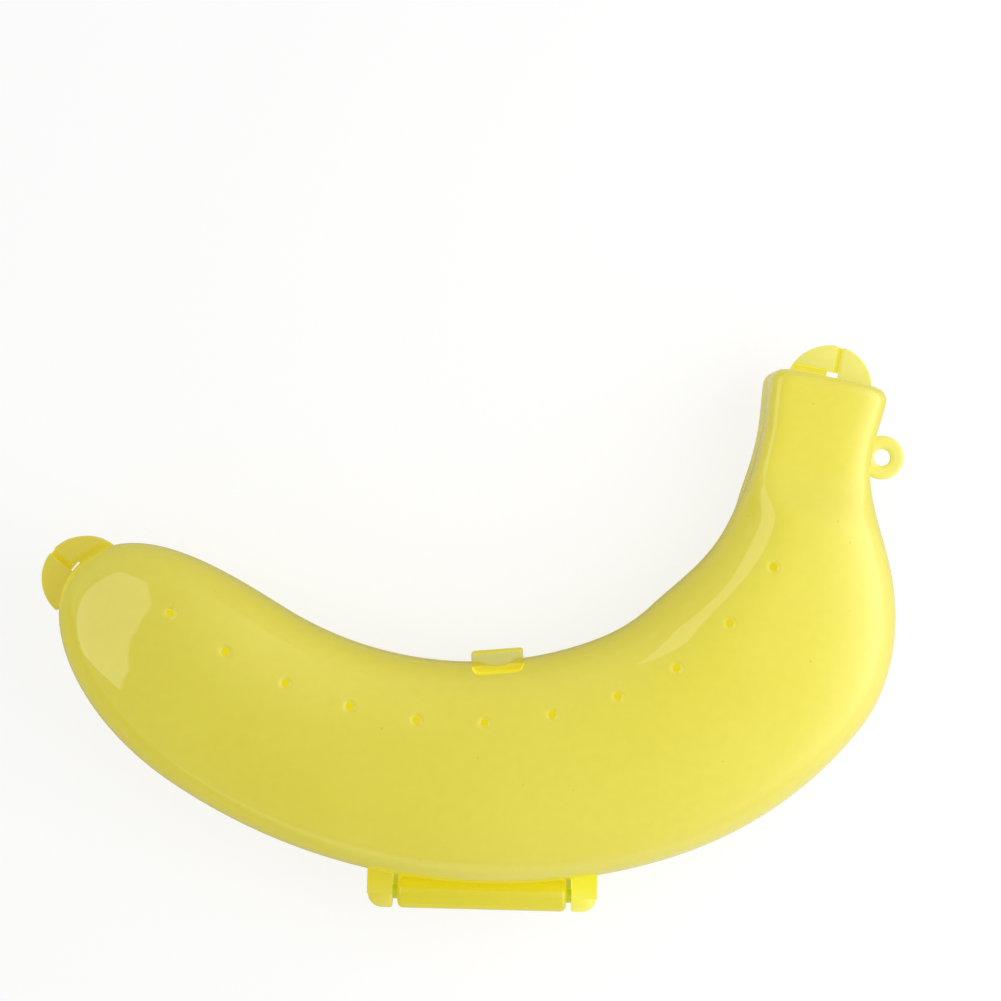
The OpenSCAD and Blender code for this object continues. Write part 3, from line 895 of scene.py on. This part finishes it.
# Painted light: the lid's inside, which shows in the vent holes, has a painted glow that stands in for light
# coming through the wall
lid_lining_colours = ((0.44, 0.385, 0.02), (0.46, 0.40, 0.03))
lid_lining_painted_light = 0.36
front_lining = yellow_plastic(
    "yellow lid inside plastic", *lid_lining_colours, painted_warm_light, lid_lining_painted_light
)
front_half = new_piece("front_half", bm, shell_plastic, front_lining)
thicken(front_half)


def latch_prism(outline, rounded, corner_r, low_z, high_z):
    bm = bmesh.new()
    verts = [bm.verts.new((x, y, low_z)) for x, y in outline]
    bm.faces.new(verts)
    bmesh.ops.bevel(
        bm,
        geom=[verts[i] for i in rounded],
        offset=corner_r,
        segments=8,
        profile=0.5,
        affect="VERTICES",
        material=-1,
    )
    raise_faces(bm, high_z - low_z)
    return bm


def nose_side(grow):
    return [(nose_half_w + grow, -nose_reach - grow), (nose_root_half_w + grow, latch_gap)]


def mirrored(side):
    return [(-x, y) for x, y in reversed(side)]


def pocket_cutters(grow):
    half = tongue_w / 2 + grow
    pocket_side = [(half, -pocket_depth - grow), (half, 2 * wall)]
    floor_z = rim_z + pocket_floor - grow
    outline = mirrored(pocket_side) + pocket_side
    pocket = latch_prism(outline, pocket_corners, pocket_corner_r, floor_z, belly_depth)
    slot_side = nose_side(nose_clearance + grow)
    slot_side.append((slot_side[-1][0], 2 * wall))
    outline = mirrored(slot_side) + slot_side
    slot = latch_prism(outline, slot_corners, nose_half_w / 2, -wall, belly_depth)
    return [
        new_piece("pocket_cut", put(pocket, latch_place)),
        new_piece("slot_cut", put(slot, latch_place)),
    ]


combine(front_half, pocket_cutters(cut_over), "DIFFERENCE")
finish_piece(front_half, "front", "front_shell")


# Latch pocket. A bowl with a flat floor set into the front half's edge, moulded with it in the same plastic.
# The tongue's nose lies above its floor, and a slot in the floor lets the nose pass.
pocket_wall = 0.0012
pocket_bury = 0.0006
pocket_cuts = 6
# Painted light: the pocket has a painted glow, which lifts the shade under the tongue's head
pocket_colours = ((0.56, 0.50, 0.012), (0.58, 0.52, 0.018))
pocket_painted_light = 0.35
pocket_plastic = yellow_plastic("yellow pocket plastic", *pocket_colours, painted_warm_light, pocket_painted_light)
bm = block(
    (-tongue_w / 2 - pocket_wall, -pocket_depth - pocket_wall, rim_z),
    (tongue_w / 2 + pocket_wall, -pocket_bury, pocket_floor),
)
level_edges = [e for e in bm.edges if abs(e.verts[0].co.z - e.verts[1].co.z) < tiny]
bmesh.ops.subdivide_edges(bm, edges=level_edges, cuts=pocket_cuts, use_grid_fill=True)
for v in bm.verts:
    if v.co.z > pocket_floor / 2:
        across = latch_edge + v.co.y
        share = 1 - (across / latch_edge) ** latch_fullness
        v.co.z = rim_z + (depth(latch_at) - rim_z) * max(share, 0) ** (1 / latch_fullness) - pocket_bury
pocket = new_piece("latch_pocket", put(bm, latch_place), pocket_plastic)
combine(pocket, pocket_cutters(0), "DIFFERENCE")
finish_piece(pocket, "front", "latch_catch")


# Hinge ears. Two short outer knuckles of the same plastic on flat arms from the front half's edge, rounded
# off at their outer ends, with blind holes that hold the pin. Painted light: the right one, nearer the lamp,
# has a brighter painted glow, and both glow more towards the body, which lifts the shade where they meet it.
ear_round = 0.0034
ear_inner_round = 0.0005
pin_seat = 0.0042
painted_left_ear_light = (1.15, 0.97, 0.21)
painted_right_ear_light = (1.7, 1.65, 0.33)
for side, name, node, glow in (
    (-1, "left_ear", "hinge_ear_left", painted_left_ear_light),
    (1, "right_ear", "hinge_ear_right", painted_right_ear_light),
):
    ear_plastic = yellow_plastic("yellow " + name + " plastic", *knuckle_colours, glow, knuckle_painted_light)
    painted_root_light = (glow[0], glow[1], 0.0)
    paint_light_towards(ear_plastic, "Y", hinge_axis.y - knuckle_r / 2, hinge_axis.y + hinge_drop, painted_root_light)
    start, end = sorted((side * ear_from, side * ear_to))
    bm = rod(start, end, knuckle_r - box_ease, knuckle_segments)
    round_rod_end(bm, side * ear_to, ear_round, segments=8)
    round_rod_end(bm, side * ear_from, ear_inner_round, segments=3)
    ear = new_piece(name, bm, ear_plastic)
    ear_arm = arm(start, end, 2 * rim_z, knuckle_r)
    combine(ear, [new_piece("ear_arm", ear_arm)], "UNION")
    start, end = sorted((side * (ear_from - ear_gap), side * (ear_from + pin_seat)))
    combine(ear, [new_piece("pin_hole", rod(start, end, pin_bore_r, bore_segments))], "DIFFERENCE")
    finish_piece(ear, "front", node)


# Hinge pin. A plain rod of the same plastic, held in both ears, that the barrel turns on. It shows only in
# the gaps beside the barrel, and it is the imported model's own mesh.
pin = frame["nodes"]["hinge_pin"]
# The pin gets the gap plastic's painted shade and painted glow
pin.data.materials.clear()
pin.data.materials.append(gap_shade_plastic)


# Latch tongue. A springy strip of the same plastic that stands on the rear half's root block, with a thicker
# head above the parting line and a rounded nose that reaches into the pocket. It is pulled outwards to open
# the case.
head_t = 0.0017
tongue_reach = 0.0044
head_corner_r = 0.0009
nose_t = 0.0017
tongue_round = 0.0004
bead_ease = 0.00002

# Its plastic is a little milkier. Painted light: its head has a pale painted glow on top and a warmer
# painted glow below the rounded edge, which lifts the shade on its outer face
painted_head_light = (0.90, 0.86, 0.40)
painted_side_light = (1.35, 1.20, 0.05)
tongue_colours = ((0.54, 0.51, 0.105), (0.56, 0.53, 0.12))
tongue_painted_light = 0.14
tongue_plastic = yellow_plastic("yellow tongue plastic", *tongue_colours, painted_head_light, tongue_painted_light)
head_top = parting_z + tongue_reach
paint_light_towards(tongue_plastic, "Z", head_top - tongue_round / 4, head_top - 2 * tongue_round, painted_side_light)

head_out = latch_gap + head_t
head_side = nose_side(0) + [(tongue_w / 2, latch_gap), (tongue_w / 2, head_out)]
outline = mirrored(head_side) + head_side
head_corners = (0, 2, 3, 4, 5, 7)
bm = latch_prism(outline, head_corners, head_corner_r, tongue_reach - nose_t, tongue_reach)
round_edges(bm, sharp_edges(bm), tongue_round, segments=4)
tongue = new_piece("tongue", put(bm, latch_place), tongue_plastic)
bm = block(
    (-tongue_w / 2, latch_gap, -root_back),
    (tongue_w / 2, latch_gap + 2 * bead_r, tongue_reach - nose_t / 2),
)
strip = new_piece("strip", put(bm, latch_place))
bead = new_piece("bead", latch_rod(bead_r, tongue_w - bead_ease))
combine(tongue, [strip, bead], "UNION")
finish_piece(tongue, "latch", "latch_tongue")


# Stage. A pale floor that the case lies on in a pale room, which is brighter on the right and low down, with
# a lit sheet on the left and a lamp on the right. The camera sees floor and room as white, with a faint
# shadow, and what the gloss shows has its own levels.
floor_size = 6.0
floor_grey = 0.85
floor_grey_in_gloss = 0.48
floor_grey_seen = 0.30
floor_glow_seen = 0.74
floor_glow_front = 0.75
floor_lit_front = (0.05, 0.15)
floor_glow_right = 2.8
floor_lit_right = (0.12, 0.45)
floor_right_power = 4.0
floor_glow_back = 0.6
floor_lit_back = (0.02, 0.15)
room_light = 0.46
low_light = 0.9
low_light_power = 3.0
left_light = 0.35
room_in_gloss = 0.65
right_in_gloss = 2.6
right_power = 2.0
right_haze_in_gloss = 1.1
right_edge_soft = 0.4
top_edge_way = Vector((0.827, 0.856, -1.0))
end_edge_way = Vector((0.839, -0.545, 0.0))
back_in_gloss = 0.42
right_way = Vector((0.98, -0.09, 0.20))
side_way = Vector((1, 0, 0))
front_way = Vector((0.7, -0.7, 0))
back_way = Vector((0, 1, 0))
down_way = Vector((0, 0, -1))
left_way = Vector((-1, -0.3, 0.1))


# These helpers add nodes to the material or the room that is being made, whose nodes and links are at hand
def by_ray(plain, in_gloss, seen):
    path = nodes.new("ShaderNodeLightPath")
    found = plain
    for ray, value in (("Is Glossy Ray", in_gloss), ("Is Camera Ray", seen)):
        node = nodes.new("ShaderNodeMix")
        links.new(path.outputs[ray], node.inputs["Factor"])
        for socket, source in (("A", found), ("B", value)):
            if isinstance(source, float):
                node.inputs[socket].default_value = source
            else:
                links.new(source, node.inputs[socket])
        found = node.outputs["Result"]
    return found


def dot(source, way):
    node = nodes.new("ShaderNodeVectorMath")
    node.operation = "DOT_PRODUCT"
    node.inputs[1].default_value = way
    links.new(source, node.inputs[0])
    return node.outputs["Value"]


def ramp(value, near, far, level):
    node = nodes.new("ShaderNodeMapRange")
    node.inputs["From Min"].default_value = near
    node.inputs["From Max"].default_value = far
    links.new(value, node.inputs["Value"])
    if isinstance(level, float):
        node.inputs["To Max"].default_value = level
    else:
        links.new(level, node.inputs["To Max"])
    return node.outputs["Result"]


def worked_out(found, *steps):
    for operation, value in steps:
        node = nodes.new("ShaderNodeMath")
        node.operation = operation
        links.new(found, node.inputs[0])
        if isinstance(value, float):
            node.inputs[1].default_value = value
        else:
            links.new(value, node.inputs[1])
        found = node.outputs["Value"]
    return found


paper = bpy.data.materials.new("white paper")
paper.use_nodes = True
nodes = paper.node_tree.nodes
links = paper.node_tree.links
shader = nodes["Principled BSDF"]
shader.inputs["Roughness"].default_value = 1.0
shader.inputs["Specular IOR Level"].default_value = 0.0
shader.inputs["Emission Color"].default_value = (1, 1, 1, 1)
grey = by_ray(floor_grey, floor_grey_in_gloss, floor_grey_seen)
links.new(grey, shader.inputs["Base Color"])
place = nodes.new("ShaderNodeTexCoord").outputs["Object"]
heading = nodes.new("ShaderNodeVectorMath")
heading.operation = "NORMALIZE"
links.new(place, heading.inputs[0])
floor_glow = worked_out(
    dot(heading.outputs["Vector"], side_way),
    ("MAXIMUM", 0.0),
    ("POWER", floor_right_power),
    ("MULTIPLY", ramp(dot(place, side_way), *floor_lit_right, floor_glow_right)),
    ("ADD", ramp(dot(place, front_way), *floor_lit_front, floor_glow_front)),
    ("ADD", ramp(dot(place, back_way), *floor_lit_back, floor_glow_back)),
)
glow = by_ray(0.0, floor_glow, floor_glow_seen)
links.new(glow, shader.inputs["Emission Strength"])
bm = bmesh.new()
bmesh.ops.create_grid(bm, x_segments=1, y_segments=1, size=floor_size / 2)
floor = new_piece("floor", bm, paper)

world = bpy.data.worlds.new("pale room")
bpy.context.scene.world = world
world.use_nodes = True
nodes = world.node_tree.nodes
links = world.node_tree.links
background = nodes["Background"]
background.inputs["Color"].default_value = (1, 1, 1, 1)
view = nodes.new("ShaderNodeTexCoord")


def facing(way):
    return dot(view.outputs["Generated"], way.normalized())


def towards(way, power, strength, before):
    steps = (("MAXIMUM", 0.0), ("POWER", power), ("MULTIPLY", strength), ("ADD", before))
    return worked_out(facing(way), *steps)


def edge(way, soft, level):
    return ramp(facing(way), -soft, soft, level)


right_share = edge(top_edge_way, right_edge_soft, edge(end_edge_way, right_edge_soft, right_in_gloss))
haze = towards(back_way, 1.0, back_in_gloss, towards(right_way, 1.0, right_haze_in_gloss, room_in_gloss))
room_seen_in_gloss = towards(right_way, right_power, right_share, haze)
from_top = worked_out(facing(down_way), ("ADD", 1.0))
plain_room = worked_out(
    from_top, ("POWER", low_light_power), ("MULTIPLY", low_light), ("ADD", room_light)
)
plain_room = towards(left_way, 1.0, left_light, plain_room)
links.new(by_ray(plain_room, room_seen_in_gloss, 1.0), background.inputs["Strength"])

# The lit sheet on the left shows only in the gloss. Its corners are given along the sheet and upwards.
panel_foot = Vector((-0.2526, 0.1212, 0))
panel_along = Vector((0.347, 0.938, 0))
panel_up = Vector((0, 0, 1))
panel_radiance = 2.4
panel_corners = (
    (-0.195, 0.045),
    (-0.297, 0.21),
    (-0.19, 0.335),
    (0.15, 0.345),
    (0.21, 0.28),
    (0.265, 0.21),
    (0.12, 0.09),
)
panel_light = bpy.data.materials.new("panel light")
panel_light.use_nodes = True
shader = panel_light.node_tree.nodes["Principled BSDF"]
shader.inputs["Base Color"].default_value = (0, 0, 0, 1)
shader.inputs["Specular IOR Level"].default_value = 0.0
shader.inputs["Emission Color"].default_value = (1, 1, 1, 1)
shader.inputs["Emission Strength"].default_value = panel_radiance
bm = bmesh.new()
sheet = [bm.verts.new(panel_foot + off * panel_along + up * panel_up) for off, up in panel_corners]
bm.faces.new(sheet)
left_panel = new_piece("left_panel", bm, panel_light)
left_panel.visible_camera = False
left_panel.visible_diffuse = False
left_panel.visible_shadow = False

# The lamp on the right lights the case but doesn't show in the gloss
lamp_place = Vector((0.20, 0.0, 0.21))
lamp_way = Vector((-0.65, 0, -0.76))
lamp_size = 0.3
lamp_radiance = 1.5
lamp = bpy.data.lights.new("right lamp", "AREA")
lamp.shape = "SQUARE"
lamp.size = lamp_size
lamp.energy = lamp_radiance * math.pi * lamp_size * lamp_size
right_lamp = bpy.data.objects.new("right lamp", lamp)
right_lamp.location = lamp_place
right_lamp.rotation_euler = lamp_way.to_track_quat("-Z", "Y").to_euler()
right_lamp.visible_camera = False
right_lamp.visible_glossy = False
bpy.context.scene.collection.objects.link(right_lamp)

# The camera looks straight down, as in the photograph
view_width = 0.24024
view_height = 0.5
view_mid = (0.00625, 0.02947)
view_turn = math.radians(1.534)
sensor_width = 36.0
nearest_seen = 0.01
camera_data = bpy.data.cameras.new("camera")
camera_data.sensor_width = sensor_width
camera_data.lens = sensor_width * view_height / view_width
camera_data.clip_start = nearest_seen
camera = bpy.data.objects.new("camera", camera_data)
camera.location = (*view_mid, parting_z + view_height)
camera.rotation_euler = (0, 0, view_turn)
bpy.context.scene.collection.objects.link(camera)
bpy.context.scene.camera = camera
bpy.context.scene.view_settings.view_transform = "Standard"
